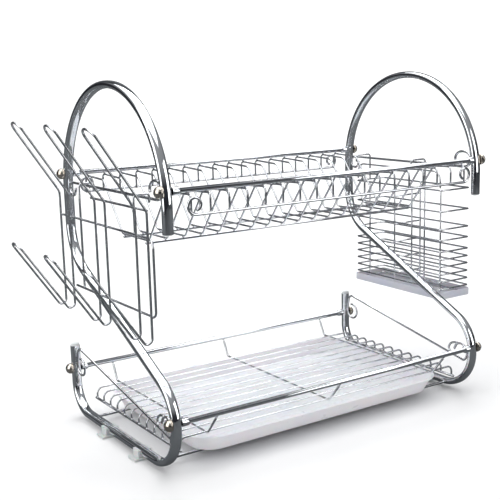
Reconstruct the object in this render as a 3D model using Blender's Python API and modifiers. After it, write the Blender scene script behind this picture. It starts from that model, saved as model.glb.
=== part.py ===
"""Two-tier chrome dish drying rack with S-shaped side frames, plate rack, cup holder,
cutlery holder, lower basket and slide-out drip tray.

Metres, +Z up. +X runs to the right end of the rack, -Y is the front, the origin is at the
middle of the footprint on the ground. Helper functions take millimetres.
"""
import math

import bmesh
import bpy
from mathutils import Matrix, Vector

# ---------------------------------------------------------------- driving dimensions (mm)
MM = 0.001
GAP = 0.3                       # gap kept between neighbouring pieces
SHIFT = (5.71, 0.325)             # frame mid-plane to the middle of the whole footprint

FRAME_X = 202.4                 # centre plane of each side frame
TUBE_R = 4.0                    # flat-oval tube, half thickness in the frame's plane
TUBE_WX = 5.5                   # and half width across it
FRONT_Y, REAR_Y = -117.5, 109.8     # front legs and upper rear legs
LOW_REAR_Y = 119.5              # lower rear legs
ARCH_TOP = 381.3
FRONT_END_Z, REAR_END_Z = 242.4, 83.3   # the two free ends of each tube
DIAG_REAR_Z, DIAG_FRONT_Z = 193.7, 81.4     # corners of the sloping middle leg
BASE_Z = 7.8                    # centre of the tube along the ground
FOOT_YS = (35.0, -42.0)

ROD_R = 2.7                     # cross rods screwed between the frames
UPPER_ROD_Z = 283.8
LOW_FRONT_Z, LOW_REAR_Z = 59.3, 56.0
BOSS_R, BOSS_L = 4.1, 8.0
SHANK_R, HEAD_R, HEAD_L = 1.6, 6.0, 7.0

WIRE_R = 1.1                    # plate wires and basket wires
CROSS = 1.2                     # offset between the axes of welded wires that cross
RAIL_R = 1.5                    # scrolled rails, end rails and floor rails
PLATE_COUNT, PLATE_PITCH = 18, 21.06
SECTION_Y = -3.85               # middle of the plate rack's cross-section
HUMP_HALF, FLOOR_HALF = 71.0, 30.0
PLATE_FLOOR_Z = 224.0
SCROLL_Z, SCROLL_R = 260.8, 9.0
END_RAIL_Z = 274.6

TIE_XS = (-156.0, 0.0, 156.0)   # cross wires under the lower basket
TIE_Z = 33.0
LONG_COUNT, LONG_Y0, LONG_PITCH = 12, 94.0, 17.4
LONG_END, BAR_X, BAR_Z = 180.0, 189.0, 22.6

TRAY_X, TRAY_Y0, TRAY_Y1 = 162.0, -95.4, 104.0      # drip tray floor
TRAY_Z0, TRAY_H, TRAY_FLARE, TRAY_T = 9.9, 19.0, 11.0, 1.6
REST_YS = (-78.0, 76.0)         # wires the drip tray stands on

CUP_X = -214.8                  # cup holder's back frame
CUP_R = 1.25
CUP_YS = (87.2, -3.4, -94.0)
CUP_HALF = 13.3
CUP_FRONT_Y = -110.5

CUT_X0, CUT_X1 = 217.0, 265.0   # cutlery holder: inner and outer faces
CUT_Y0, CUT_Y1 = -49.4, 110.3   # front and rear faces
CUT_LEVELS = (115.6, 124.9, 134.4, 144.2, 153.5, 163.3, 177.8, 191.6, 213.8, 240.3)
CUT_R = 1.1
TRAY2_Z = 102.8                 # underside of the cutlery tray
HOOK_YS = (84.9, -19.0)
DIVIDER_Y = 36.2
DIVIDER_ZS = (122.7, 143.6, 165.1, 188.6, 225.4)

CHROME = ("chrome", (0.82, 0.83, 0.85), 0.08, 1.0)
WARM = ("dome_screw", (0.80, 0.74, 0.64), 0.16, 1.0)
MILKY = ("milky_plastic", (0.90, 0.91, 0.93), 0.30, 0.0)
LILAC = ("clear_plastic", (0.80, 0.84, 0.95), 0.12, 0.0)
CLIP = ("foot_plastic", (0.80, 0.82, 0.82), 0.35, 0.0)

# ---------------------------------------------------------------- scene and helpers
for old in list(bpy.data.objects):
    bpy.data.objects.remove(old, do_unlink=True)
parts = bpy.data.collections.new("dish_drying_rack")
cutters = bpy.data.collections.new("cutters")
bpy.context.scene.collection.children.link(parts)
bpy.context.scene.collection.children.link(cutters)
DEPS = bpy.context.evaluated_depsgraph_get


def fillet(points, radii, steps):
    """Polyline in a plane with its inner corners rounded; radii holds one value a corner."""
    points = [Vector(p) for p in points]
    out = [points[0]]
    for before, corner, after, radius in zip(points, points[1:], points[2:], radii):
        u, w = (before - corner).normalized(), (after - corner).normalized()
        half = u.angle(w) / 2
        centre = corner + (u + w).normalized() * radius / math.sin(half)
        reach = radius / math.tan(half)
        start, end = corner + u * reach - centre, corner + w * reach - centre
        out += [centre + start.slerp(end, k / steps).normalized() * radius for k in range(steps + 1)]
    return out + [points[-1]]


def arc(cx, cz, r, a0, a1, steps, rz=None):
    """Points of an arc in a plane, angles in degrees; rz makes it an ellipse."""
    return [(cx + r * math.cos(math.radians(a0 + (a1 - a0) * k / steps)),
             cz + (rz or r) * math.sin(math.radians(a0 + (a1 - a0) * k / steps)))
            for k in range(steps + 1)]


def in_yz(points, x):
    return [(x, p[0], p[1]) for p in points]


def link(name, mesh):
    obj = bpy.data.objects.new(name, mesh)
    parts.objects.link(obj)
    return obj


def wire_mesh(points, radius, sides=6, closed=False):
    """Round wire along a polyline, as a welded mesh in metres."""
    curve = bpy.data.curves.new("wire", "CURVE")
    curve.dimensions = "3D"
    curve.bevel_depth = radius * MM
    curve.bevel_resolution = sides // 2 - 2
    curve.use_fill_caps = True
    spline = curve.splines.new("POLY")
    spline.points.add(len(points) - 1)
    spline.use_cyclic_u = closed
    for point, co in zip(spline.points, points):
        point.co = (co[0] * MM, co[1] * MM, co[2] * MM, 1.0)
    obj = bpy.data.objects.new("wire", curve)
    parts.objects.link(obj)
    mesh = bpy.data.meshes.new_from_object(obj.evaluated_get(DEPS()))
    mesh.transform(obj.matrix_world)
    bpy.data.objects.remove(obj)
    bm = bmesh.new()
    bm.from_mesh(mesh)
    bmesh.ops.remove_doubles(bm, verts=bm.verts, dist=1e-6)
    bmesh.ops.recalc_face_normals(bm, faces=bm.faces)
    bm.to_mesh(mesh)
    bm.free()
    return mesh


def merge(meshes):
    """Several meshes as one, without joining their surfaces."""
    bm = bmesh.new()
    for mesh in meshes:
        bm.from_mesh(mesh)
    out = bpy.data.meshes.new("merged")
    bm.to_mesh(out)
    bm.free()
    return out


def boolean(mesh, other, operation):
    """One exact Boolean between two meshes, applied."""
    base, tool = link("base", mesh), bpy.data.objects.new("tool", other)
    cutters.objects.link(tool)
    mod = base.modifiers.new("boolean", "BOOLEAN")
    mod.operation, mod.solver, mod.object = operation, "EXACT", tool
    out = bpy.data.meshes.new_from_object(base.evaluated_get(DEPS()))
    bpy.data.objects.remove(base)
    bpy.data.objects.remove(tool)
    return out


def primitive(kind, matrix, **size):
    """A cube or cone primitive under a matrix given in millimetres."""
    bm = bmesh.new()
    if kind == "cube":
        bmesh.ops.create_cube(bm, size=1.0)
    else:
        bmesh.ops.create_cone(bm, cap_ends=True, **size)
    bm.transform(Matrix.Scale(MM, 4) @ matrix)
    mesh = bpy.data.meshes.new(kind)
    bm.to_mesh(mesh)
    bm.free()
    return mesh


def along_x(x0, x1, y, z, radius, sides=12):
    """A cylinder along X between two stations."""
    turn = Matrix.Rotation(math.radians(90), 4, "Y")
    return primitive("cone", Matrix.Translation(((x0 + x1) / 2, y, z)) @ turn, segments=sides,
                     radius1=radius, radius2=radius, depth=abs(x1 - x0))


def block(x0, x1, y0, y1, z0, z1):
    size = Matrix.Diagonal((x1 - x0, y1 - y0, z1 - z0, 1))
    return primitive("cube", Matrix.Translation(((x0 + x1) / 2, (y0 + y1) / 2, (z0 + z1) / 2)) @ size)


def material(look):
    name, colour, roughness, metallic = look
    mat = bpy.data.materials.get(name) or bpy.data.materials.new(name)
    mat.use_nodes = True
    shader = mat.node_tree.nodes["Principled BSDF"]
    shader.inputs["Base Color"].default_value = (*colour, 1.0)
    shader.inputs["Roughness"].default_value = roughness
    shader.inputs["Metallic"].default_value = metallic
    mat.diffuse_color = (*colour, 1.0)
    mat.metallic, mat.roughness = metallic, roughness
    return mat


def piece(name, mesh, look, origin=(0.0, 0.0, 0.0)):
    """Finish one named piece: shift to the footprint's frame, set its origin and material."""
    mesh.transform(Matrix.Translation((SHIFT[0] * MM, SHIFT[1] * MM, 0)))
    home = Vector((origin[0] + SHIFT[0], origin[1] + SHIFT[1], origin[2])) * MM
    mesh.transform(Matrix.Translation(-home))
    mesh.name = name
    mesh.materials.clear()
    mesh.materials.append(material(look))
    obj = link(name, mesh)
    obj.location = home
    mesh.shade_smooth()
    mesh.set_sharp_from_angle(angle=math.radians(50))
    return obj


# ---------------------------------------------------------------- side frames and fixings
tube_line = fillet(
    [(FRONT_Y, FRONT_END_Z), (FRONT_Y, ARCH_TOP), (REAR_Y, ARCH_TOP), (REAR_Y, DIAG_REAR_Z),
     (FRONT_Y, DIAG_FRONT_Z), (FRONT_Y, BASE_Z), (LOW_REAR_Y, BASE_Z), (LOW_REAR_Y, REAR_END_Z)],
    [113.5, 113.5, 57.0, 44.0, 44.0, 32.0], 8)
SCREWS = {"upper_front": (FRONT_Y, UPPER_ROD_Z), "upper_rear": (REAR_Y, UPPER_ROD_Z),
          "lower_front": (FRONT_Y, LOW_FRONT_Z), "lower_rear": (LOW_REAR_Y, LOW_REAR_Z)}

for side, end in ((-1, "left"), (1, "right")):
    tube = wire_mesh(in_yz(tube_line, 0.0), TUBE_R, 10)
    tube.transform(Matrix.Translation((side * FRAME_X * MM, 0, 0)) @ Matrix.Diagonal((TUBE_WX / TUBE_R, 1, 1, 1)))
    reach = sorted((side * (FRAME_X - 9), side * (FRAME_X + 9)))
    holes = merge([along_x(*reach, y, z, SHANK_R + GAP) for y, z in SCREWS.values()])
    piece("side_frame_" + end, boolean(tube, holes, "DIFFERENCE"), CHROME)

    for number, y in enumerate(FOOT_YS):
        inner, outer = side * (FRAME_X - 7.6), side * (FRAME_X + 7.6)
        tab = side * (FRAME_X + 12.5)
        low = block(min(inner, tab), max(inner, tab), y - 8, y + 8, 0.0, 2.4)
        high = block(min(inner, outer), max(inner, outer), y - 6, y + 6, 1.2, 10.4)
        channel = wire_mesh([(0, y - 20, 0), (0, y + 20, 0)], TUBE_R + GAP, 12)
        channel.transform(Matrix.Translation((side * FRAME_X * MM, 0, BASE_Z * MM))
                          @ Matrix.Diagonal(((TUBE_WX + GAP) / (TUBE_R + GAP), 1, 1.05, 1)))
        foot = boolean(boolean(high, low, "UNION"), channel, "DIFFERENCE")
        piece("foot_%s_%s" % (end, ("rear", "front")[number]), foot, CLIP)

    for place, (y, z) in SCREWS.items():
        face = FRAME_X + TUBE_WX + GAP
        # half outline of the dome head and shank, turned about the screw's own axis
        dome = [(HEAD_R * math.cos(a), 1.6 + (HEAD_L - 1.6) * math.sin(a))
                for a in (math.radians(15 * k) for k in range(1, 6))]
        outline = [(0.0, HEAD_L)] + dome[::-1] + [(HEAD_R, 1.6), (HEAD_R, 0.0), (SHANK_R, 0.0),
                                                  (SHANK_R, -17.0), (0.0, -17.0)]
        bm = bmesh.new()
        ring = [bm.verts.new((r * MM, 0, h * MM)) for r, h in outline]
        for a, b in zip(ring, ring[1:]):
            bm.edges.new((a, b))
        bmesh.ops.spin(bm, geom=bm.verts[:] + bm.edges[:], cent=(0, 0, 0), axis=(0, 0, 1),
                       angle=math.tau, steps=14, use_merge=True)
        bmesh.ops.remove_doubles(bm, verts=bm.verts, dist=1e-6)
        bmesh.ops.recalc_face_normals(bm, faces=bm.faces)
        bm.transform(Matrix.Translation((side * face * MM, y * MM, z * MM))
                     @ Matrix.Rotation(math.radians(90) * side, 4, "Y"))
        screw = bpy.data.meshes.new("screw")
        bm.to_mesh(screw)
        bm.free()
        piece("dome_screw_%s_%s" % (place, end), screw, WARM)

# cross rods with a threaded boss on each end
for place, (y, z) in SCREWS.items():
    end_x = FRAME_X - TUBE_WX - GAP
    rod = along_x(-end_x + 1, end_x - 1, y, z, ROD_R)
    bosses = merge([along_x(-end_x, -end_x + BOSS_L, y, z, BOSS_R),
                    along_x(end_x - BOSS_L, end_x, y, z, BOSS_R)])
    bores = merge([along_x(-end_x - 1, -end_x + 6.5, y, z, SHANK_R + GAP),
                   along_x(end_x - 6.5, end_x + 1, y, z, SHANK_R + GAP)])
    piece(place + "_rod", boolean(boolean(rod, bosses, "UNION"), bores, "DIFFERENCE"), CHROME)

# ---------------------------------------------------------------- plate rack
hump_z = UPPER_ROD_Z - ROD_R - WIRE_R - GAP
drop = ROD_R + WIRE_R + GAP
section = fillet(
    [(REAR_Y + drop, SCROLL_Z), (REAR_Y + drop, hump_z), (SECTION_Y + HUMP_HALF, hump_z - 2),
     (SECTION_Y + FLOOR_HALF, PLATE_FLOOR_Z), (SECTION_Y - FLOOR_HALF, PLATE_FLOOR_Z),
     (SECTION_Y - HUMP_HALF, hump_z - 2), (FRONT_Y - drop, hump_z), (FRONT_Y - drop, SCROLL_Z)],
    [5, 7, 6, 6, 7, 5], 3)
for number in range(PLATE_COUNT):
    x = (number - (PLATE_COUNT - 1) / 2) * PLATE_PITCH
    piece("plate_wire_%02d" % (number + 1), wire_mesh(in_yz(section, x), WIRE_R), CHROME)


def scroll(side, steps=12):
    """Spiral at a rail's end, from the rail round to its inner tip, in the XZ plane."""
    pts = []
    for k in range(steps + 1):
        turn = math.radians(-90 + 350 * k / steps)
        r = SCROLL_R * (1 - 0.45 * k / steps)
        pts.append((side * (176.0 + r * math.cos(turn)), SCROLL_Z + SCROLL_R + r * math.sin(turn)))
    return pts


for place, y in (("front", FRONT_Y - drop - WIRE_R - RAIL_R - GAP), ("rear", REAR_Y + drop + WIRE_R + RAIL_R + GAP)):
    run = scroll(-1)[::-1] + scroll(1)
    piece("scroll_rail_" + place, wire_mesh([(p[0], y, p[1]) for p in run], RAIL_R), CHROME)

reach = (PLATE_COUNT - 1) / 2 * PLATE_PITCH + 2
for place, y in (("front", SECTION_Y - 25.5), ("rear", SECTION_Y + 24.5)):
    z = PLATE_FLOOR_Z - WIRE_R - RAIL_R - GAP
    piece("floor_rail_" + place, wire_mesh([(-reach, y, z), (reach, y, z)], RAIL_R), CHROME)

# end rails across each arch, with an upward curl at the front and a small one at the rear
rear_face = REAR_Y - TUBE_R - GAP - RAIL_R
front_face = FRONT_Y + TUBE_R + GAP + RAIL_R + 1.4      # the arch already leans in here
rail_line = (arc(rear_face - 7, END_RAIL_Z - 7, 7, -200, 90, 10)
             + arc(front_face + 12.5, END_RAIL_Z + 9, 12.5, 270, -20, 12, 9))
for side, end in ((-1, "left"), (1, "right")):
    piece("end_rail_" + end, wire_mesh(in_yz(rail_line, side * FRAME_X), RAIL_R), CHROME)

# ---------------------------------------------------------------- lower basket
curl_rear = LOW_REAR_Y - TUBE_R - GAP - RAIL_R
low_line = (arc(curl_rear - 9.5, 60, 9.5, -150, 0, 6) + [(curl_rear - 1.2, 72)]
            + arc(curl_rear - 9.5, 74, 7.5, 10, 118, 5)
            + arc(-99.0, 50, 10.5, 241, 10, 10) + [(-93.5, 60.0), (-84.0, 58.0), (-79.5, 52.0), (-81.5, 47.0)])
for side, end in ((-1, "left"), (1, "right")):
    piece("lower_scroll_" + end, wire_mesh(in_yz(low_line, side * FRAME_X), WIRE_R + 0.2), CHROME)

long_z = TIE_Z + 2 * WIRE_R - 0.35
longs = []
for number in range(LONG_COUNT):
    y = LONG_Y0 - number * LONG_PITCH
    half = fillet([(0, long_z), (LONG_END + 8.6, long_z), (LONG_END + 9.0, BAR_Z)], [7.0], 4)
    run = [(-p[0], y, p[1]) for p in half[:0:-1]] + [(p[0], y, p[1]) for p in half[1:]]
    longs.append(wire_mesh(run, WIRE_R))
cross = [wire_mesh([(side * BAR_X, LONG_Y0 + 4, BAR_Z), (side * BAR_X, LONG_Y0 - (LONG_COUNT - 1) * LONG_PITCH - 4, BAR_Z)],
                   RAIL_R) for side in (-1, 1)]
tie = fillet([(LOW_REAR_Y - 1.6, LOW_REAR_Z - ROD_R - WIRE_R - 0.7), (109.0, TIE_Z), (-98.0, TIE_Z),
              (FRONT_Y + 1.6, LOW_FRONT_Z - ROD_R - WIRE_R - 0.7)], [6, 6], 3)
cross += [wire_mesh(in_yz(tie, x), WIRE_R + 0.15) for x in TIE_XS]
piece("lower_grille", boolean(merge(longs), merge(cross), "UNION"), CHROME)

# ---------------------------------------------------------------- drip tray on its rest wires
for place, y in zip(("front", "rear"), REST_YS):
    end_x = FRAME_X - TUBE_WX - GAP
    piece("tray_rest_" + place, wire_mesh([(-end_x, y, BASE_Z), (end_x, y, BASE_Z)], RAIL_R + 0.1), CHROME)


def open_tray(x0, x1, y0, y1, z0, height, flare, wall, corner, steps):
    """Shallow open tray with flared walls and rounded upright corners."""
    mesh = block(x0, x1, y0, y1, z0, z0 + height)
    bm = bmesh.new()
    bm.from_mesh(mesh)
    mid = Vector(((x0 + x1) / 2, (y0 + y1) / 2, 0)) * MM
    top = [v for v in bm.verts if v.co.z > (z0 + height / 2) * MM]
    for vert in top:
        vert.co.x += math.copysign(flare * MM, vert.co.x - mid.x)
        vert.co.y += math.copysign(flare * MM, vert.co.y - mid.y)
    upright = [e for e in bm.edges if abs(e.verts[0].co.z - e.verts[1].co.z) > height * MM / 2]
    bmesh.ops.bevel(bm, geom=upright, offset=corner * MM, segments=steps, profile=0.5, affect="EDGES")
    bmesh.ops.delete(bm, geom=[max(bm.faces, key=lambda f: f.calc_center_median().z)], context="FACES_ONLY")
    bm.to_mesh(mesh)
    bm.free()
    shell = link("shell", mesh)
    mod = shell.modifiers.new("wall", "SOLIDIFY")
    mod.thickness, mod.offset, mod.use_even_offset = wall * MM, -1.0, True
    out = bpy.data.meshes.new_from_object(shell.evaluated_get(DEPS()))
    bpy.data.objects.remove(shell)
    return out


piece("drip_tray", open_tray(-TRAY_X, TRAY_X, TRAY_Y0, TRAY_Y1, TRAY_Z0, TRAY_H, TRAY_FLARE, TRAY_T, 26, 5),
      MILKY, (0, (TRAY_Y0 + TRAY_Y1) / 2, TRAY_Z0))

# ---------------------------------------------------------------- cup holder
cup_low, cup_mid, cup_high = 164.8, 240.1, 266.0
hook_top = END_RAIL_Z + RAIL_R + CUP_R + GAP
origin = (CUP_X, 0, cup_mid)


def hook(x, y, z0, rail_x):
    """Wire up from z0, over an end rail and a little way down its far side."""
    far = rail_x + (rail_x - x) * 0.5
    line = fillet([(x, z0), (x, hook_top), (far, hook_top), (far, hook_top - 9)], [4.0, 2.6], 3)
    return [(p[0], y, p[1]) for p in line]


ring = fillet([(99.6, cup_mid), (CUP_FRONT_Y, cup_mid), (CUP_FRONT_Y, cup_low), (73.0, cup_low)], [9, 6], 4)
level = [wire_mesh(in_yz(ring, CUP_X), CUP_R), wire_mesh([(CUP_X, 24.0, cup_high), (CUP_X, -102.0, cup_high)], CUP_R)]
upright = [wire_mesh(hook(CUP_X + CROSS, 55.0, cup_low - 1, -FRAME_X), CUP_R),
           wire_mesh(hook(CUP_X + CROSS, -72.0, cup_mid - 1, -FRAME_X), CUP_R)]
frame = boolean(merge(level), merge(upright), "UNION")
piece("cup_holder_frame", frame, CHROME, origin)

loop_x = CUP_X - 2 * CUP_R - GAP
tip_reach = (CUP_HALF - CUP_R) * 0.8
prong = fillet([(-263.5, 335.8), (loop_x, 266.0), (loop_x, 128.5), (-272.0, 208.6)], [12, 5.0], 3)
for number, y in enumerate(CUP_YS):
    width = CUP_HALF - CUP_R
    run = [(p[0], y + width, p[1]) for p in prong]
    back = [(p[0], y - width, p[1]) for p in prong]
    tips = []
    for tip, nxt, sign in ((prong[-1], prong[-2], 1), (prong[0], prong[1], -1)):
        out = (Vector(tip) - Vector(nxt)).normalized()
        tips.append([(tip[0] + out.x * tip_reach * math.sin(math.radians(a)),
                      y + sign * width * math.cos(math.radians(a)),
                      tip[1] + out.y * tip_reach * math.sin(math.radians(a))) for a in range(36, 180, 36)])
    piece("cup_loop_" + ("rear", "middle", "front")[number],
          wire_mesh(run + tips[0] + back[::-1] + tips[1], CUP_R, closed=True), CHROME, origin)

# ---------------------------------------------------------------- cutlery holder
origin = (CUT_X0, 0, CUT_LEVELS[-1])
low, rim = 104.6, 263.6
inner_ys = (CUT_Y0 + 2.5, 4.0, DIVIDER_Y)
bars = [wire_mesh([(CUT_X0, CUT_Y0 + 1.4, z), (CUT_X0, CUT_Y1 - 1.4, z)], CUT_R) for z in CUT_LEVELS]
posts = [wire_mesh([(CUT_X0 + CROSS, y, low), (CUT_X0 + CROSS, y, CUT_LEVELS[-1] + 1)], CUT_R)
         for y in inner_ys + HOOK_YS]
piece("cutlery_inner_grille", boolean(merge(bars), merge(posts), "UNION"), CHROME, origin)

rim_line = fillet([(CUT_Y0 + 2.5, CUT_LEVELS[-1] + 2.8), (CUT_Y0 + 2.5, rim), (CUT_Y1 - 2.5, rim),
                   (CUT_Y1 - 2.5, CUT_LEVELS[-1] + 2.8)], [12, 12], 4)
hooks = [wire_mesh(hook(CUT_X0 + CROSS, y, CUT_LEVELS[-1] + 2.8, FRAME_X), CUT_R) for y in HOOK_YS]
piece("cutlery_hanger", boolean(wire_mesh(in_yz(rim_line, CUT_X0), CUT_R), merge(hooks), "UNION"), CHROME, origin)

bars = [wire_mesh([(CUT_X1, CUT_Y0 + 1.4, z), (CUT_X1, CUT_Y1 - 1.4, z)], CUT_R) for z in CUT_LEVELS]
posts = wire_mesh([(CUT_X1 - CROSS, DIVIDER_Y, low), (CUT_X1 - CROSS, DIVIDER_Y, CUT_LEVELS[-1] + 1)], CUT_R)
piece("cutlery_outer_grille", boolean(merge(bars), posts, "UNION"), CHROME, origin)

for place, y, inward in (("front", CUT_Y0, 1), ("rear", CUT_Y1, -1)):
    bars = [wire_mesh([(CUT_X0 - 0.6, y, z), (CUT_X1 + 0.6, y, z)], CUT_R) for z in CUT_LEVELS]
    posts = [wire_mesh([(x, y + inward * 0.2, CUT_LEVELS[0] - 3), (x, y + inward * 0.2, top)], CUT_R + 0.1)
             for x, top in ((CUT_X0 + 5.0, CUT_LEVELS[-1] + 3), )]
    piece("cutlery_%s_grille" % place, boolean(merge(bars), merge(posts), "UNION"), CHROME, origin)

inside = CUT_X0 + CROSS + 2 * CUT_R + GAP, CUT_X1 - CROSS - 2 * CUT_R - GAP
bars = [wire_mesh([(inside[0], DIVIDER_Y, z), (inside[1], DIVIDER_Y, z)], CUT_R) for z in DIVIDER_ZS]
posts = [wire_mesh([(x, DIVIDER_Y + CROSS, DIVIDER_ZS[0] - 1), (x, DIVIDER_Y + CROSS, DIVIDER_ZS[-1] + 1)], CUT_R)
         for x in (inside[0] + 1.1, inside[1] - 1.1)]
piece("cutlery_divider", boolean(merge(bars), merge(posts), "UNION"), CHROME, origin)

dish = open_tray(CUT_X0 - 1.9, CUT_X1 + 1.9, CUT_Y0 - 1.9, CUT_Y1 + 1.9, TRAY2_Z, 9.4, 0.0, 1.3, 3.0, 2)
piece("cutlery_tray", dish, LILAC, (CUT_X0, 0, TRAY2_Z))
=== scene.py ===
import math

import bmesh
import bpy
from mathutils import Matrix, Vector

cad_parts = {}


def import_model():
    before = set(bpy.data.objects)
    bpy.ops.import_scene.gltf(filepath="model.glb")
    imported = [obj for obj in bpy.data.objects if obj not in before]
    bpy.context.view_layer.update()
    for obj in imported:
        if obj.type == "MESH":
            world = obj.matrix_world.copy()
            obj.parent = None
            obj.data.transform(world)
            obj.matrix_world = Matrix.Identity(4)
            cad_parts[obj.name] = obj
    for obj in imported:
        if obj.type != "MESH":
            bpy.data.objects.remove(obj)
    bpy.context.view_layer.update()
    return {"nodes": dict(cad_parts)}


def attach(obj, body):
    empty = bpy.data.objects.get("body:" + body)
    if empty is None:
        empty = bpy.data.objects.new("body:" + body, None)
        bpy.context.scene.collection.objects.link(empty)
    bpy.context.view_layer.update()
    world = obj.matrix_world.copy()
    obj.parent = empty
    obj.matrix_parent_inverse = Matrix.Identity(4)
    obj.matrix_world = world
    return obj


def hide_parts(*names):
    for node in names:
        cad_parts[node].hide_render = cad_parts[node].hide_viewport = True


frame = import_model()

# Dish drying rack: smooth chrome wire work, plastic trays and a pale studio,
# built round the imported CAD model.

# ------------------------------------------------ driving dimensions (mm, frame mid-plane at x = 0)
MM = 0.001
SHIFT = Vector((5.71, 0.325, 0.0))
GAP = 0.3
FRAME_X, TUBE_R, TUBE_WX = 202.4, 4.0, 5.5
FRONT_Y, REAR_Y, LOW_REAR_Y = -117.5, 109.8, 119.5
ARCH_TOP, FRONT_END_Z, REAR_END_Z = 381.3, 242.4, 83.3
DIAG_REAR_Z, DIAG_FRONT_Z, BASE_Z = 193.7, 81.4, 7.8
ROD_R, UPPER_ROD_Z, LOW_FRONT_Z, LOW_REAR_Z = 2.7, 283.8, 59.3, 56.0
BOSS_R, BOSS_L = 4.1, 8.0
HEAD_R, HEAD_L = 6.0, 7.0
WIRE_R, RAIL_R, CROSS = 1.1, 1.5, 1.2
PLATE_COUNT, PLATE_PITCH = 18, 21.06
SECTION_Y, HUMP_HALF, FLOOR_HALF, PLATE_FLOOR_Z = -3.85, 71.0, 30.0, 224.0
SCROLL_X, SCROLL_Z, SCROLL_R, END_RAIL_Z = 176.0, 260.8, 9.0, 274.6
TIE_XS, TIE_Z = (-156.0, 0.0, 156.0), 33.0
LONG_COUNT, LONG_Y0, LONG_PITCH = 12, 94.0, 17.4
LONG_END, BAR_X, BAR_Z = 180.0, 189.0, 22.6
TRAY_X, TRAY_Y0, TRAY_Y1 = 162.0, -95.4, 104.0
TRAY_Z0, TRAY_H, TRAY_FLARE, TRAY_T = 9.9, 19.0, 11.0, 1.6
REST_YS = (-78.0, 76.0)
CUP_X, CUP_R, CUP_HALF, CUP_YS = -214.8, 1.25, 13.3, (87.2, -3.4, -94.0)
CUP_LOW, CUP_MID, CUP_HIGH, CUP_FRONT_Y = 164.8, 240.1, 266.0, -110.5
CUT_X0, CUT_X1, CUT_Y0, CUT_Y1 = 217.0, 265.0, -49.4, 110.3
CUT_LEVELS = (115.6, 124.9, 134.4, 144.2, 153.5, 163.3, 177.8, 191.6, 213.8, 240.3)
CUT_R, HOOK_YS, DIVIDER_Y = 1.1, (84.9, -19.0), 36.2
CUT_LOW, CUT_RIM = 104.6, 263.6
HOOK_TOP = END_RAIL_Z + RAIL_R + CUP_R + GAP


# ---------------------------------------------------------------- paths
def fillet(points, radii, steps=14):
    """Polyline with rounded inner corners; radii holds one value a corner."""
    points = [Vector(p) for p in points]
    out = [points[0]]
    for before, corner, after, radius in zip(points, points[1:], points[2:], radii):
        u, w = (before - corner).normalized(), (after - corner).normalized()
        half = u.angle(w) / 2
        centre = corner + (u + w).normalized() * radius / math.sin(half)
        reach = radius / math.tan(half)
        start, end = corner + u * reach - centre, corner + w * reach - centre
        out += [centre + start.slerp(end, k / steps).normalized() * radius for k in range(steps + 1)]
    return out + [points[-1]]


def arc(cx, cz, r, a0, a1, steps, rz=None):
    """Points of an arc in a plane, angles in degrees; rz makes it an ellipse."""
    return [(cx + r * math.cos(math.radians(a0 + (a1 - a0) * k / steps)),
             cz + (rz or r) * math.sin(math.radians(a0 + (a1 - a0) * k / steps)))
            for k in range(steps + 1)]


def smooth(points, per=5):
    """Catmull-Rom curve through the points."""
    pts = [Vector(p) for p in points]
    pts = [pts[0] * 2 - pts[1]] + pts + [pts[-1] * 2 - pts[-2]]
    out = []
    for a, b, c, d in zip(pts, pts[1:], pts[2:], pts[3:]):
        for k in range(per):
            t = k / per
            out.append(0.5 * (2 * b + (c - a) * t + (2 * a - 5 * b + 4 * c - d) * t ** 2
                              + (3 * b - a - 3 * c + d) * t ** 3))
    return out + [pts[-2]]


def in_yz(points, x):
    return [(x, p[0], p[1]) for p in points]


# ---------------------------------------------------------------- mesh building
def round_section(radius, sides):
    return [(radius * math.cos(math.tau * k / sides), radius * math.sin(math.tau * k / sides))
            for k in range(sides)]


def oval_section(half_a, half_b, sides, power=2.5):
    """Flat-oval outline: a superellipse."""
    out = []
    for k in range(sides):
        c, s = math.cos(math.tau * k / sides), math.sin(math.tau * k / sides)
        out.append((half_a * math.copysign(abs(c) ** (2 / power), c),
                    half_b * math.copysign(abs(s) ** (2 / power), s)))
    return out


def sweep(bm, path, section, closed=False, cap=0.5, start=None):
    """Carry a section along a path without twist; open ends get a low rounded cap."""
    pts = [Vector(p) for p in path]
    pts = [p for k, p in enumerate(pts) if k == 0 or (p - pts[k - 1]).length > 1e-4]
    count = len(pts)
    size = min(Vector(s).length for s in section)
    tangents = []
    for k, p in enumerate(pts):
        before = pts[(k - 1) % count] if closed or k else p
        after = pts[(k + 1) % count] if closed or k < count - 1 else p
        tangents.append((after - before).normalized())
    side = Vector(start) if start else tangents[0].orthogonal()
    side = (side - tangents[0] * side.dot(tangents[0])).normalized()
    rings = []
    for p, t in zip(pts, tangents):
        side = (side - t * side.dot(t)).normalized()
        rings.append((p, side.copy(), t.cross(side), 1.0))
    if not closed:
        depth = cap * size
        layers = [(math.cos(a), math.sin(a)) for a in (math.radians(d) for d in (0, 30, 55, 75))]
        first, last = rings[0], rings[-1]
        head = [(first[0] + tangents[0] * depth * (1 - s), first[1], first[2], c) for c, s in layers]
        tail = [(last[0] - tangents[-1] * depth * (1 - s), last[1], last[2], c) for c, s in layers]
        rings = head[::-1] + rings[1:-1] + tail
    loops = [[bm.verts.new(p + (a * u + b * v) * scale) for a, b in section] for p, u, v, scale in rings]
    pairs = list(zip(loops, loops[1:])) + ([(loops[-1], loops[0])] if closed else [])
    n = len(section)
    shift = 0
    for lower, upper in pairs:
        if closed and upper is loops[0]:
            shift = min(range(n), key=lambda s: (lower[0].co - upper[s].co).length)
        for k in range(n):
            bm.faces.new((lower[k], lower[(k + 1) % n], upper[(k + 1 + shift) % n], upper[(k + shift) % n]))
    if not closed:
        bm.faces.new(loops[0][::-1])
        bm.faces.new(loops[-1])


def wire(bm, path, radius, sides=12, closed=False):
    sweep(bm, path, round_section(radius, sides), closed)


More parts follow.
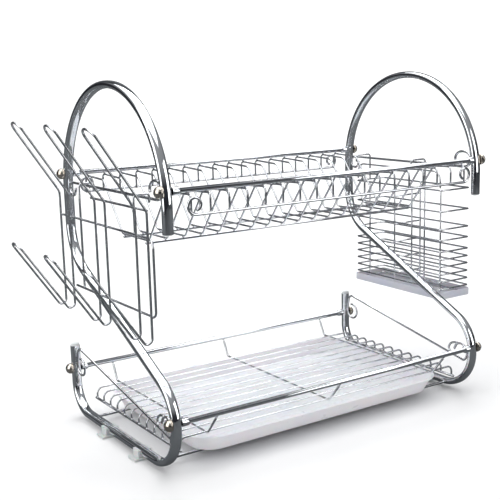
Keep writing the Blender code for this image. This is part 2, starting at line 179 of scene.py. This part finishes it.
def weld(bm, at, radius, along=(1, 0, 0)):
    """A small bead of weld metal where two wires cross."""
    axis = Vector(along).normalized()
    turn = axis.to_track_quat("X", "Z").to_matrix().to_4x4()
    bmesh.ops.create_icosphere(bm, subdivisions=2, radius=radius,
                               matrix=Matrix.Translation(at) @ turn @ Matrix.Diagonal((1.35, 1.0, 1.0, 1)))


def turned(bm, outline, at, axis, steps=40):
    """A profile of (radius, height) turned about an axis."""
    turn = Vector(axis).to_track_quat("Z", "Y").to_matrix().to_4x4()
    place = Matrix.Translation(at) @ turn
    rings = []
    for r, h in outline:
        if r < 1e-6:
            rings.append([bm.verts.new(place @ Vector((0, 0, h)))])
        else:
            rings.append([bm.verts.new(place @ Vector((r * math.cos(math.tau * k / steps),
                                                       r * math.sin(math.tau * k / steps), h)))
                          for k in range(steps)])
    for a, b in zip(rings, rings[1:]):
        for k in range(steps):
            j = (k + 1) % steps
            quad = [a[k % len(a)], a[j % len(a)], b[j % len(b)], b[k % len(b)]]
            face = []
            for vert in quad:
                if vert not in face:
                    face.append(vert)
            if len(face) > 2:
                bm.faces.new(face)


# ---------------------------------------------------------------- materials
def graph(name):
    mat = bpy.data.materials.new(name)
    mat.use_nodes = True
    tree = mat.node_tree
    return mat, tree, tree.nodes["Principled BSDF"]


def noise(tree, scale, detail=3.0, stretch=(1, 1, 1)):
    coords = tree.nodes.new("ShaderNodeTexCoord")
    mapping = tree.nodes.new("ShaderNodeMapping")
    mapping.inputs["Scale"].default_value = stretch
    tex = tree.nodes.new("ShaderNodeTexNoise")
    tex.inputs["Scale"].default_value = scale
    tex.inputs["Detail"].default_value = detail
    tree.links.new(coords.outputs["Object"], mapping.inputs["Vector"])
    tree.links.new(mapping.outputs["Vector"], tex.inputs["Vector"])
    return tex.outputs["Fac"]


def ramp(tree, value, stops):
    node = tree.nodes.new("ShaderNodeValToRGB")
    elements = node.color_ramp.elements
    for element, (place, colour) in zip(elements, (stops[0], stops[-1])):
        element.position, element.color = place, (*colour, 1.0)
    for place, colour in stops[1:-1]:
        elements.new(place).color = (*colour, 1.0)
    tree.links.new(value, node.inputs["Fac"])
    return node.outputs["Color"]


def spread(tree, value, low, high):
    node = tree.nodes.new("ShaderNodeMapRange")
    node.inputs["From Min"].default_value, node.inputs["From Max"].default_value = 0.3, 0.7
    node.inputs["To Min"].default_value, node.inputs["To Max"].default_value = low, high
    tree.links.new(value, node.inputs["Value"])
    return node.outputs["Result"]


def bump(tree, shader, value, strength, distance):
    node = tree.nodes.new("ShaderNodeBump")
    node.inputs["Strength"].default_value, node.inputs["Distance"].default_value = strength, distance
    tree.links.new(value, node.inputs["Height"])
    tree.links.new(node.outputs["Normal"], shader.inputs["Normal"])


def chrome(name, bright, dull, rough):
    """Bright plate with faint handling film, uneven polish and fine scratches along the wire."""
    mat, tree, shader = graph(name)
    shader.inputs["Metallic"].default_value = 1.0
    film = noise(tree, 38.0, 4.0)
    shade = ramp(tree, film, [(0.30, dull), (0.52, bright), (0.80, bright)])
    tree.links.new(shade, shader.inputs["Base Color"])
    tree.links.new(spread(tree, noise(tree, 150.0, 5.0), rough[0], rough[1]), shader.inputs["Roughness"])
    bump(tree, shader, noise(tree, 420.0, 6.0, (1.0, 0.25, 0.6)), 0.05, 0.0002)
    return mat


def plastic(name, colour, deep, rough, transmission, pebble, subsurface=0.0, ior=1.49):
    """Moulded plastic: slight cloudiness, uneven gloss and a fine moulded grain."""
    mat, tree, shader = graph(name)
    shader.inputs["IOR"].default_value = ior
    shader.inputs["Transmission Weight"].default_value = transmission
    shader.inputs["Subsurface Weight"].default_value = subsurface
    shader.inputs["Subsurface Scale"].default_value = 0.004
    cloud = noise(tree, 22.0, 4.0)
    tree.links.new(ramp(tree, cloud, [(0.32, deep), (0.62, colour)]), shader.inputs["Base Color"])
    tree.links.new(spread(tree, noise(tree, 90.0, 4.0), rough[0], rough[1]), shader.inputs["Roughness"])
    bump(tree, shader, noise(tree, pebble, 2.0), 0.03, 0.0002)
    return mat


CHROME = chrome("bright_chrome", (0.86, 0.88, 0.90), (0.74, 0.76, 0.79), (0.02, 0.06))
WIRES = chrome("wire_chrome", (0.76, 0.77, 0.79), (0.62, 0.64, 0.67), (0.05, 0.12))
DOMES = chrome("dome_chrome", (0.74, 0.68, 0.60), (0.56, 0.48, 0.39), (0.05, 0.14))
MILKY = plastic("milky_plastic", (0.97, 0.97, 1.0), (0.93, 0.93, 0.99), (0.26, 0.40), 0.05, 300.0, 0.2)
LILAC = plastic("clear_plastic", (0.95, 0.95, 1.0), (0.89, 0.90, 1.0), (0.05, 0.14), 0.45, 700.0, 0.1, 1.3)
CLIPS = plastic("foot_plastic", (0.86, 0.88, 0.88), (0.76, 0.80, 0.80), (0.25, 0.42), 0.25, 1100.0, 0.2)
PLUGS = plastic("plug_plastic", (0.80, 0.82, 0.82), (0.70, 0.73, 0.73), (0.35, 0.50), 0.0, 1400.0)


# ---------------------------------------------------------------- finishing a piece
def piece(name, build, mat, body="frame", nodes=(), sharp=40):
    """Run build(bm) in millimetres, then place, shade and ride the piece, link it into the scene and hide the
    CAD nodes it replaces.
    """
    bm = bmesh.new()
    build(bm)
    bmesh.ops.transform(bm, matrix=Matrix.Scale(MM, 4) @ Matrix.Translation(SHIFT), verts=bm.verts)
    bmesh.ops.recalc_face_normals(bm, faces=bm.faces)
    mesh = bpy.data.meshes.new(name)
    bm.to_mesh(mesh)
    bm.free()
    mesh.shade_smooth()
    mesh.set_sharp_from_angle(angle=math.radians(sharp))
    mesh.materials.append(mat)
    obj = bpy.data.objects.new(name, mesh)
    bpy.context.scene.collection.objects.link(obj)
    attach(obj, body)
    if nodes:
        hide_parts(*nodes)
    return obj


# ---------------------------------------------------------------- side frames, plugs, screws and rods
FRAME_PATH = fillet(
    [(FRONT_Y, FRONT_END_Z + 1.2), (FRONT_Y, ARCH_TOP), (REAR_Y, ARCH_TOP), (REAR_Y, DIAG_REAR_Z),
     (FRONT_Y, DIAG_FRONT_Z), (FRONT_Y, BASE_Z), (LOW_REAR_Y, BASE_Z), (LOW_REAR_Y, REAR_END_Z)],
    [113.5, 113.5, 57.0, 44.0, 44.0, 32.0], 30)
SCREWS = {"upper_front": (FRONT_Y, UPPER_ROD_Z), "upper_rear": (REAR_Y, UPPER_ROD_Z),
          "lower_front": (FRONT_Y, LOW_FRONT_Z), "lower_rear": (LOW_REAR_Y, LOW_REAR_Z)}


def side_frame(side):
    def build(bm):
        path = in_yz(FRAME_PATH, side * FRAME_X)
        sweep(bm, path, oval_section(TUBE_WX, TUBE_R, 32), cap=0.12, start=(1, 0, 0))
    return build


def end_plugs(side):
    def build(bm):
        rear = [(side * FRAME_X, LOW_REAR_Y, REAR_END_Z - 3 + d) for d in (0, 3.0, 4.4, 6.0)]
        front = [(side * FRAME_X, FRONT_Y, FRONT_END_Z + 3 - d) for d in (0, 1.8, 3.0)]
        for path, size in ((rear, 0.93), (front, 0.88)):
            sweep(bm, path, oval_section(TUBE_WX * size, TUBE_R * size, 28), cap=0.35, start=(1, 0, 0))
    return build


def dome_screw(side, y, z):
    def build(bm):
        dome = [(HEAD_R * math.cos(a), 1.6 + (HEAD_L - 1.6) * math.sin(a))
                for a in (math.radians(6 * k) for k in range(1, 15))]
        groove = [(HEAD_R, 1.5), (HEAD_R - 0.2, 1.1), (HEAD_R - 0.5, 0.9), (HEAD_R - 0.2, 0.7),
                  (HEAD_R, 0.3), (HEAD_R - 0.3, 0.0), (0.0, 0.0)]
        outline = [(0.0, HEAD_L)] + dome[::-1] + groove
        turned(bm, outline, (side * (FRAME_X + TUBE_WX + GAP), y, z), (side, 0, 0))
    return build


def cross_rod(y, z):
    def build(bm):
        end = FRAME_X - TUBE_WX - GAP
        half = [(0.0, end), (BOSS_R - 0.6, end), (BOSS_R, end - 0.6), (BOSS_R, end - BOSS_L + 1.2),
                (BOSS_R - 0.4, end - BOSS_L + 0.3), (ROD_R, end - BOSS_L - 1.0)]
        turned(bm, half + [(r, -h) for r, h in half[::-1]], (0, y, z), (1, 0, 0), 28)
    return build


for side, end in ((-1, "left"), (1, "right")):
    piece("side_frame_" + end + "_tube", side_frame(side), CHROME, nodes=["side_frame_" + end])
    piece("end_plugs_" + end, end_plugs(side), PLUGS)
    for place, (y, z) in SCREWS.items():
        name = "dome_screw_%s_%s" % (place, end)
        piece(name + "_head", dome_screw(side, y, z), DOMES, nodes=[name])
    for place in ("front", "rear"):
        foot = frame["nodes"]["foot_%s_%s" % (end, place)]
        foot.data.materials.clear()
        foot.data.materials.append(CLIPS)
        soft = foot.modifiers.new("soft_edges", "BEVEL")
        soft.width, soft.segments, soft.limit_method = 0.0006, 3, "ANGLE"
for place, (y, z) in SCREWS.items():
    piece(place + "_rod_bar", cross_rod(y, z), CHROME, nodes=[place + "_rod"])

# ---------------------------------------------------------------- plate rack
DROP = ROD_R + WIRE_R + GAP
HUMP_Z = UPPER_ROD_Z - DROP
PLATE_SECTION = fillet(
    [(REAR_Y + DROP, SCROLL_Z - 1.4), (REAR_Y + DROP, HUMP_Z), (SECTION_Y + HUMP_HALF, HUMP_Z - 2),
     (SECTION_Y + FLOOR_HALF, PLATE_FLOOR_Z), (SECTION_Y - FLOOR_HALF, PLATE_FLOOR_Z),
     (SECTION_Y - HUMP_HALF, HUMP_Z - 2), (FRONT_Y - DROP, HUMP_Z), (FRONT_Y - DROP, SCROLL_Z - 1.4)],
    [5, 7, 6, 6, 7, 5], 8)
SCROLL_YS = {"front": FRONT_Y - DROP - WIRE_R - RAIL_R - GAP, "rear": REAR_Y + DROP + WIRE_R + RAIL_R + GAP}
FLOOR_YS = {"front": SECTION_Y - 25.5, "rear": SECTION_Y + 24.5}
PLATE_XS = [(k - (PLATE_COUNT - 1) / 2) * PLATE_PITCH for k in range(PLATE_COUNT)]


def plate_wire(x):
    def build(bm):
        wire(bm, in_yz(PLATE_SECTION, x), WIRE_R)
        for y in FLOOR_YS.values():
            weld(bm, (x, y, PLATE_FLOOR_Z - WIRE_R - 0.2), 0.85, (0, 1, 0))
        for y, leg in ((SCROLL_YS["front"], -DROP + FRONT_Y), (SCROLL_YS["rear"], REAR_Y + DROP)):
            weld(bm, (x, (y + leg) / 2, SCROLL_Z), 0.85, (0, 0, 1))
        for y in (FRONT_Y, REAR_Y):
            weld(bm, (x, y, HUMP_Z + WIRE_R + 0.1), 0.95, (0, 1, 0))
    return build


def scroll(side, steps=44):
    """Spiral at a rail's end, from the rail round to its inner tip."""
    out = []
    for k in range(steps + 1):
        turn = math.radians(-90 + 350 * k / steps)
        r = SCROLL_R * (1 - 0.45 * k / steps)
        out.append((side * (SCROLL_X + r * math.cos(turn)), SCROLL_Z + SCROLL_R + r * math.sin(turn)))
    return out


def scroll_rail(y):
    def build(bm):
        run = scroll(-1)[::-1] + scroll(1)
        wire(bm, [(p[0], y, p[1]) for p in run], RAIL_R, 14)
    return build


def floor_rail(y):
    def build(bm):
        reach = PLATE_XS[-1] + 2
        z = PLATE_FLOOR_Z - WIRE_R - RAIL_R - GAP
        wire(bm, [(-reach, y, z), (reach, y, z)], RAIL_R, 14)
    return build


RAIL_REAR, RAIL_FRONT = REAR_Y - TUBE_R - GAP - RAIL_R, FRONT_Y + TUBE_R + GAP + RAIL_R + 1.4
END_RAIL = (arc(RAIL_REAR - 7, END_RAIL_Z - 7, 7, -200, 90, 30)
            + arc(RAIL_FRONT + 12.5, END_RAIL_Z + 9, 12.5, 270, -20, 40, 9))


def end_rail(side):
    def build(bm):
        wire(bm, in_yz(END_RAIL, side * FRAME_X), RAIL_R, 14)
        weld(bm, (side * FRAME_X, RAIL_REAR + RAIL_R, END_RAIL_Z - 7), 1.2, (0, 0, 1))
        weld(bm, (side * FRAME_X, RAIL_FRONT - RAIL_R, END_RAIL_Z + 9), 1.2, (0, 0, 1))
    return build


for number, x in enumerate(PLATE_XS):
    name = "plate_wire_%02d" % (number + 1)
    piece(name + "_bent", plate_wire(x), WIRES, nodes=[name])
for place in ("front", "rear"):
    for name, build in (("scroll_rail_" + place, scroll_rail(SCROLL_YS[place])),
                        ("floor_rail_" + place, floor_rail(FLOOR_YS[place]))):
        piece(name + "_wire", build, WIRES, nodes=[name])
for side, end in ((-1, "left"), (1, "right")):
    piece("end_rail_%s_wire" % end, end_rail(side), WIRES, nodes=["end_rail_" + end])

# ---------------------------------------------------------------- lower basket
CURL_REAR = LOW_REAR_Y - TUBE_R - GAP - RAIL_R
LOW_SCROLL = (arc(CURL_REAR - 9.5, 60, 9.5, -290, 0, 34) + [(CURL_REAR - 0.4, 66), (CURL_REAR - 1.2, 72)]
              + arc(CURL_REAR - 9.5, 74, 7.5, 10, 118, 16)
              + arc(-99.0, 50, 10.5, 241, 10, 28)
              + smooth([(-88.7, 52.6), (-93.5, 60.0), (-84.0, 58.0), (-79.5, 52.0), (-81.5, 47.0)], 6)[6:])
LONG_Z = TIE_Z + 2 * WIRE_R - 0.35
LONG_YS = [LONG_Y0 - k * LONG_PITCH for k in range(LONG_COUNT)]


def lower_scroll(side):
    def build(bm):
        wire(bm, in_yz(LOW_SCROLL, side * FRAME_X), WIRE_R + 0.2, 14)
    return build


def lower_grille(bm):
    half = fillet([(0, LONG_Z), (LONG_END + 8.6, LONG_Z), (LONG_END + 9.0, BAR_Z)], [7.0], 8)
    for y in LONG_YS:
        run = [(-p[0], y, p[1]) for p in half[:0:-1]] + [(p[0], y, p[1]) for p in half[1:]]
        wire(bm, run, WIRE_R)
        for side in (-1, 1):
            weld(bm, (side * BAR_X, y, BAR_Z + 0.6), 1.5, (0, 1, 0))
        for x in TIE_XS:
            weld(bm, (x, y, (LONG_Z + TIE_Z) / 2), 1.05, (0, 1, 0))
    for side in (-1, 1):
        wire(bm, [(side * BAR_X, LONG_YS[0] + 4, BAR_Z), (side * BAR_X, LONG_YS[-1] - 4, BAR_Z)], RAIL_R, 14)
    tie = fillet([(LOW_REAR_Y - 1.6, LOW_REAR_Z - ROD_R - WIRE_R - 0.7), (109.0, TIE_Z), (-98.0, TIE_Z),
                  (FRONT_Y + 1.6, LOW_FRONT_Z - ROD_R - WIRE_R - 0.7)], [6, 6], 8)
    for x in TIE_XS:
        wire(bm, in_yz(tie, x), WIRE_R + 0.15)
        for y, z in ((LOW_REAR_Y - 0.6, LOW_REAR_Z), (FRONT_Y + 0.6, LOW_FRONT_Z)):
            weld(bm, (x, y, z - ROD_R - 0.4), 1.1, (1, 0, 0))


def tray_rest(y):
    def build(bm):
        end = FRAME_X - TUBE_WX - GAP
        wire(bm, [(-end, y, BASE_Z), (end, y, BASE_Z)], RAIL_R + 0.1, 14)
    return build


for side, end in ((-1, "left"), (1, "right")):
    piece("lower_scroll_%s_wire" % end, lower_scroll(side), WIRES, nodes=["lower_scroll_" + end])
piece("lower_grille_wires", lower_grille, WIRES, nodes=["lower_grille"])
for place, y in zip(("front", "rear"), REST_YS):
    piece("tray_rest_%s_wire" % place, tray_rest(y), WIRES, nodes=["tray_rest_" + place])


# ---------------------------------------------------------------- trays
def rounded_loop(x0, x1, y0, y1, grow, radius, z, steps):
    """Points of a rectangle with round corners, grown outwards."""
    x0, x1, y0, y1, r = x0 - grow, x1 + grow, y0 - grow, y1 + grow, max(radius + grow, 0.4)
    out = []
    for cx, cy, a0 in ((x1 - r, y1 - r, 0), (x0 + r, y1 - r, 90),
                       (x0 + r, y0 + r, 180), (x1 - r, y0 + r, 270)):
        for k in range(steps + 1):
            a = math.radians(a0 + 90 * k / steps)
            out.append((cx + r * math.cos(a), cy + r * math.sin(a), z))
    return out


def shell(bm, rect, radius, profile, steps):
    """Closed tray: a profile of (grow, z) from the middle of the underside round to the inner floor."""
    loops = [[bm.verts.new(p) for p in rounded_loop(*rect, grow, radius, z, steps)] for grow, z in profile]
    for a, b in zip(loops, loops[1:]):
        for k in range(len(a)):
            j = (k + 1) % len(a)
            bm.faces.new((a[k], a[j], b[j], b[k]))
    bm.faces.new(loops[0][::-1])
    bm.faces.new(loops[-1])


def with_ribs(obj, bars, radius):
    """Union raised ribs into a tray's floor; bars holds their end points."""
    bm = bmesh.new()
    for a, b in bars:
        sweep(bm, [a, b], round_section(radius, 16), cap=1.0)
    bmesh.ops.transform(bm, matrix=Matrix.Scale(MM, 4) @ Matrix.Translation(SHIFT), verts=bm.verts)
    bmesh.ops.recalc_face_normals(bm, faces=bm.faces)
    mesh = bpy.data.meshes.new("ribs")
    bm.to_mesh(mesh)
    bm.free()
    ribs = bpy.data.objects.new("ribs", mesh)
    bpy.context.scene.collection.objects.link(ribs)
    mod = obj.modifiers.new("ribs", "BOOLEAN")
    mod.operation, mod.solver, mod.object = "UNION", "EXACT", ribs
    done = bpy.data.meshes.new_from_object(obj.evaluated_get(bpy.context.evaluated_depsgraph_get()))
    obj.modifiers.clear()
    bpy.data.objects.remove(ribs)
    done.shade_smooth()
    done.set_sharp_from_angle(angle=math.radians(32))
    obj.data = done


TOP = TRAY_Z0 + TRAY_H
TRAY_FOOT = 3.0
drip_profile = ([(-TRAY_FOOT, TRAY_Z0)]
                + [(TRAY_FOOT * (math.sin(a) - 1), TRAY_Z0 + TRAY_FOOT * (1 - math.cos(a)))
                   for a in (math.radians(d) for d in (30, 60, 90))]
                + [(TRAY_FLARE - 3.4, TOP - 3.2), (TRAY_FLARE - 2.4, TOP - 1.9),
                   (TRAY_FLARE - 0.4, TOP - 1.6), (TRAY_FLARE, TOP - 0.9), (TRAY_FLARE - 0.3, TOP - 0.2), (TRAY_FLARE - 1.0, TOP),
                   (TRAY_FLARE - 3.2, TOP - 0.3), (TRAY_FLARE - 4.6, TOP - 1.6),
                   (TRAY_FLARE - 5.2, TOP - 3.4),
                   (-1.4, TRAY_Z0 + 4.2), (-2.6, TRAY_Z0 + 2.3), (-4.6, TRAY_Z0 + TRAY_T)])
drip = piece("drip_tray_shell",
             lambda bm: shell(bm, (-TRAY_X, TRAY_X, TRAY_Y0, TRAY_Y1), 26, drip_profile, 14),
             MILKY, "drip_tray", ["drip_tray"])
RIB_COUNT, RIB_PITCH, RIB_R = 12, 14.5, 1.9
rib_x, rib_z = TRAY_X - 22, TRAY_Z0 + TRAY_T - 0.7
rib_ys = [TRAY_Y0 + 20 + k * RIB_PITCH for k in range(RIB_COUNT)]
with_ribs(drip, [((-rib_x, y, rib_z), (rib_x, y, rib_z)) for y in rib_ys], RIB_R)

CUT_TRAY_GROW, CUT_TRAY_Z = 1.9, 102.8
CUT_TRAY = (CUT_X0 - CUT_TRAY_GROW, CUT_X1 + CUT_TRAY_GROW, CUT_Y0 - CUT_TRAY_GROW, CUT_Y1 + CUT_TRAY_GROW)
cut_profile = [(grow, CUT_TRAY_Z + rise) for grow, rise in (
    (-1.2, 0.0), (-0.4, 0.2), (0.0, 1.0), (0.0, 8.4), (-0.2, 9.1), (-0.6, 9.4), (-1.0, 9.2),
    (-1.25, 8.5), (-1.3, 2.1), (-1.7, 1.4), (-2.4, 1.3))]
cut_tray = piece("cutlery_tray_shell", lambda bm: shell(bm, CUT_TRAY, 3.0, cut_profile, 6),
                 LILAC, "cutlery_tray", ["cutlery_tray"])
cut_ribs = [(CUT_Y0 + 12 + 17 * k, CUT_TRAY_Z + 1.0) for k in range(9)]
with_ribs(cut_tray, [((CUT_X0 + 5, y, z), (CUT_X1 - 5, y, z)) for y, z in cut_ribs], 0.7)


# ---------------------------------------------------------------- cup holder
def hook(x, y, z0, rail_x):
    """Wire up from z0, over an end rail and a little way down its far side."""
    far = rail_x + (rail_x - x) * 0.5
    line = fillet([(x, z0), (x, HOOK_TOP), (far, HOOK_TOP), (far, HOOK_TOP - 9)], [4.0, 2.6], 10)
    return [(p[0], y, p[1]) for p in line]


LOOP_X = CUP_X - 2 * CUP_R - GAP
UPPER_TIP, LOWER_TIP, LOOP_BOTTOM = (-263.5, 335.8), (-272.0, 208.6), 128.5
PRONG = fillet([UPPER_TIP, (LOOP_X, CUP_HIGH), (LOOP_X, LOOP_BOTTOM), LOWER_TIP], [12, 5.0], 12)
RING_REAR_Y, RING_LOW_REAR_Y = 99.6, 73.0
CUP_HOOKS = ((55.0, CUP_LOW), (-72.0, CUP_MID))


def cup_frame(bm):
    ring = fillet([(RING_REAR_Y, CUP_MID), (CUP_FRONT_Y, CUP_MID), (CUP_FRONT_Y, CUP_LOW),
                   (RING_LOW_REAR_Y, CUP_LOW)], [9, 6], 12)
    wire(bm, in_yz(ring, CUP_X), CUP_R)
    wire(bm, [(CUP_X, 24.0, CUP_HIGH), (CUP_X, -102.0, CUP_HIGH)], CUP_R)
    for y, foot in CUP_HOOKS:
        wire(bm, hook(CUP_X + CROSS, y, foot - 1, -FRAME_X), CUP_R)
    for y, z in ((55, CUP_MID), (55, CUP_LOW), (-72, CUP_MID), (-72, CUP_HIGH)):
        weld(bm, (CUP_X + CROSS / 2, y, z), 1.5, (0, 1, 0))
    for y in CUP_YS:
        for edge in (-1, 1):
            leg = y + edge * (CUP_HALF - CUP_R)
            weld(bm, (CUP_X - CUP_R - 0.1, leg, CUP_MID), 1.0, (0, 0, 1))
            if CUP_FRONT_Y < leg < RING_LOW_REAR_Y:
                weld(bm, (CUP_X - CUP_R - 0.1, leg, CUP_LOW), 1.0, (0, 0, 1))


def cup_loop(y):
    """One closed wire: two bent sides joined by round tips at the upper and lower prong."""
    def build(bm):
        width = CUP_HALF - CUP_R
        run = [Vector((p[0], y + width, p[1])) for p in PRONG]
        back = [Vector((p[0], y - width, p[1])) for p in PRONG]
        tips = []
        for tip, nxt, sign in ((PRONG[-1], PRONG[-2], 1), (PRONG[0], PRONG[1], -1)):
            out = (Vector(tip) - Vector(nxt)).normalized() * width * 0.8
            tips.append([(tip[0] + out.x * math.sin(a), y + sign * width * math.cos(a),
                          tip[1] + out.y * math.sin(a)) for a in (math.radians(9 * k) for k in range(1, 20))])
        wire(bm, run + tips[0] + back[::-1] + tips[1], CUP_R, 12, closed=True)
    return build


piece("cup_holder_wires", cup_frame, WIRES, "cup_holder", ["cup_holder_frame"])
for place, y in zip(("rear", "middle", "front"), CUP_YS):
    piece("cup_loop_%s_wire" % place, cup_loop(y), WIRES, "cup_holder", ["cup_loop_" + place])

# ---------------------------------------------------------------- cutlery holder
INNER_YS, OUTER_YS = (CUT_Y0 + 2.5, 4.0, DIVIDER_Y), (DIVIDER_Y,)
DIVIDER_ZS = (122.7, 143.6, 165.1, 188.6, 225.4)


def cutlery_cage(bm):
    for z in CUT_LEVELS:
        wire(bm, rounded_loop(CUT_X0, CUT_X1, CUT_Y0, CUT_Y1, 0.0, 3.0, z, 6), CUT_R, 10, closed=True)
    top = CUT_LEVELS[-1] + 1
    for x, face_x, ys in ((CUT_X0 + CROSS, CUT_X0, INNER_YS + HOOK_YS), (CUT_X1 - CROSS, CUT_X1, OUTER_YS)):
        for y in ys:
            wire(bm, [(x, y, CUT_LOW), (x, y, top)], CUT_R, 10)
            for z in CUT_LEVELS:
                weld(bm, ((x + face_x) / 2, y, z), 1.1, (0, 1, 0))
    low_ring = (CUT_X0 + CROSS, CUT_X1 - CROSS, CUT_Y0 + CROSS, CUT_Y1 - CROSS)
    wire(bm, rounded_loop(*low_ring, 0.0, 2.4, CUT_LOW + 1.4, 6), CUT_R, 10, closed=True)


def cutlery_divider(bm):
    """Rungs across the middle, welded to the posts of both faces and standing a little proud outside."""
    for z in DIVIDER_ZS:
        wire(bm, [(CUT_X0 + 0.6, DIVIDER_Y + CROSS, z), (CUT_X1 + 1.6, DIVIDER_Y + CROSS, z)], CUT_R, 10)
        for x in (CUT_X0 + CROSS, CUT_X1 - CROSS):
            weld(bm, (x, DIVIDER_Y + CROSS / 2, z), 1.2, (1, 0, 0))


def cutlery_hanger(bm):
    foot = CUT_LEVELS[-1] + 2.8
    front, rear = CUT_Y0 + 2.5, CUT_Y1 - 2.5
    rim = fillet([(front, foot), (front, CUT_RIM), (rear, CUT_RIM), (rear, foot)], [12, 12], 12)
    wire(bm, in_yz(rim, CUT_X0), CUT_R, 10)
    for y in HOOK_YS:
        wire(bm, hook(CUT_X0 + CROSS, y, foot, FRAME_X), CUT_R, 10)
        weld(bm, (CUT_X0 + CROSS / 2, y, CUT_RIM), 1.2, (0, 1, 0))


piece("cutlery_cage_wires", cutlery_cage, WIRES, "cutlery_holder",
      ["cutlery_inner_grille", "cutlery_outer_grille", "cutlery_front_grille", "cutlery_rear_grille"])
piece("cutlery_divider_wires", cutlery_divider, WIRES, "cutlery_holder", ["cutlery_divider"])
piece("cutlery_hanger_wires", cutlery_hanger, WIRES, "cutlery_holder", ["cutlery_hanger"])


# ---------------------------------------------------------------- studio
def studio():
    """Pale sweep: a floor that curves up into a backdrop. Glossy rays see it painted near black, a painted
    dark reflection in the chrome standing in for a dimmer room.
    """
    mat, tree, shader = graph("studio_paper_and_painted_reflection")
    shade = ramp(tree, noise(tree, 3.0, 3.0), [(0.3, (0.90, 0.90, 0.90)), (0.7, (0.94, 0.94, 0.94))])
    tree.links.new(shade, shader.inputs["Base Color"])
    shader.inputs["Roughness"].default_value = 0.9
    shader.inputs["Specular IOR Level"].default_value = 0.1
    # Painted reflection: glossy rays see the sweep near black, which paints dark reflections and shade into
    # the chrome.
    painted_reflection_shader = tree.nodes.new("ShaderNodeBsdfDiffuse")
    painted_reflection_colour = ramp(tree, noise(tree, 2.0), [(0.3, (0.09, 0.095, 0.10)), (0.7, (0.13, 0.135, 0.14))])
    tree.links.new(painted_reflection_colour, painted_reflection_shader.inputs["Color"])
    path, mix = tree.nodes.new("ShaderNodeLightPath"), tree.nodes.new("ShaderNodeMixShader")
    tree.links.new(path.outputs["Is Glossy Ray"], mix.inputs["Fac"])
    tree.links.new(shader.outputs["BSDF"], mix.inputs[1])
    tree.links.new(painted_reflection_shader.outputs["BSDF"], mix.inputs[2])
    tree.links.new(mix.outputs["Shader"], tree.nodes["Material Output"].inputs["Surface"])
    heading = Vector((math.sin(math.radians(33.5)), math.cos(math.radians(33.5)), 0))
    across = Vector((heading.y, -heading.x, 0))
    outline = [(-2.2, 0.0)] + [(1.6 + 0.9 * math.sin(math.radians(a)), 0.9 - 0.9 * math.cos(math.radians(a)))
                               for a in range(0, 91, 9)] + [(2.5, 3.2)]
    bm = bmesh.new()
    below = 0.0004
    rows = [[bm.verts.new(heading * d + across * s + Vector((0, 0, h - below))) for s in (-3.2, 3.2)]
            for d, h in outline]
    for a, b in zip(rows, rows[1:]):
        bm.faces.new((a[0], a[1], b[1], b[0]))
    mesh = bpy.data.meshes.new("studio_sweep")
    bm.to_mesh(mesh)
    bm.free()
    mesh.shade_smooth()
    mesh.materials.append(mat)
    sweep_obj = bpy.data.objects.new("studio_sweep", mesh)
    bpy.context.scene.collection.objects.link(sweep_obj)


def softbox(name, at, aim, size, power):
    lamp = bpy.data.lights.new(name, "AREA")
    lamp.shape, lamp.size, lamp.size_y, lamp.energy = "RECTANGLE", size[0], size[1], power
    obj = bpy.data.objects.new(name, lamp)
    obj.location = at
    obj.rotation_euler = (Vector(aim) - Vector(at)).to_track_quat("-Z", "Y").to_euler()
    bpy.context.scene.collection.objects.link(obj)


def world():
    """Surround that is dark at the horizon and pale above, which gives the chrome its streaks."""
    sky = bpy.data.worlds.new("studio")
    sky.use_nodes = True
    tree = sky.node_tree
    coords = tree.nodes.new("ShaderNodeTexCoord")
    split = tree.nodes.new("ShaderNodeSeparateXYZ")
    tree.links.new(coords.outputs["Generated"], split.inputs["Vector"])
    shade = ramp(tree, split.outputs["Z"], [(0.0, (0.04, 0.04, 0.05)), (0.22, (0.06, 0.06, 0.07)),
                                            (0.45, (0.45, 0.46, 0.48)), (1.0, (0.75, 0.76, 0.78))])
    tree.links.new(shade, tree.nodes["Background"].inputs["Color"])
    tree.nodes["Background"].inputs["Strength"].default_value = 0.5
    bpy.context.scene.world = sky


def camera():
    """The photograph's viewpoint: 33.5 degrees to the left of the front, 10.8 degrees above the horizon."""
    azimuth, elevation, roll = (math.radians(v) for v in (-33.525, 10.813, -1.471))
    ahead = Vector((-math.sin(azimuth) * math.cos(elevation), math.cos(azimuth) * math.cos(elevation),
                    -math.sin(elevation)))
    right = Vector((math.cos(azimuth), math.sin(azimuth), 0))
    up = right.cross(ahead)
    right, up = right * math.cos(roll) + up * math.sin(roll), up * math.cos(roll) - right * math.sin(roll)
    lens = bpy.data.cameras.new("camera")
    lens.lens, lens.sensor_width, lens.clip_start = 67.7, 36.0, 0.05
    obj = bpy.data.objects.new("camera", lens)
    pose = Matrix((right, up, -ahead)).transposed().to_4x4()
    pose.translation = (-0.6068, -0.8725, 0.3913)
    obj.matrix_world = pose
    bpy.context.scene.collection.objects.link(obj)
    bpy.context.scene.camera = obj


studio()
world()
camera()
# Each light's place, target and size are in metres, its power in watts.
for name, at, aim, size, power in (("key_light", (-1.7, -0.2, 0.9), (0, 0, 0.2), (1.7, 1.9), 19),
                                   ("fill_light", (1.2, -1.7, 0.8), (0, 0, 0.2), (0.8, 1.4), 9),
                                   ("top_light", (0.1, 0.2, 2.3), (0, 0, 0.1), (3.4, 2.8), 44),
                                   ("backdrop_light", (0.9, 0.9, 1.9), (1.3, 2.0, 0.5), (1.6, 0.8), 26)):
    softbox(name, at, aim, size, power)
bpy.context.scene.view_settings.view_transform = "Standard"
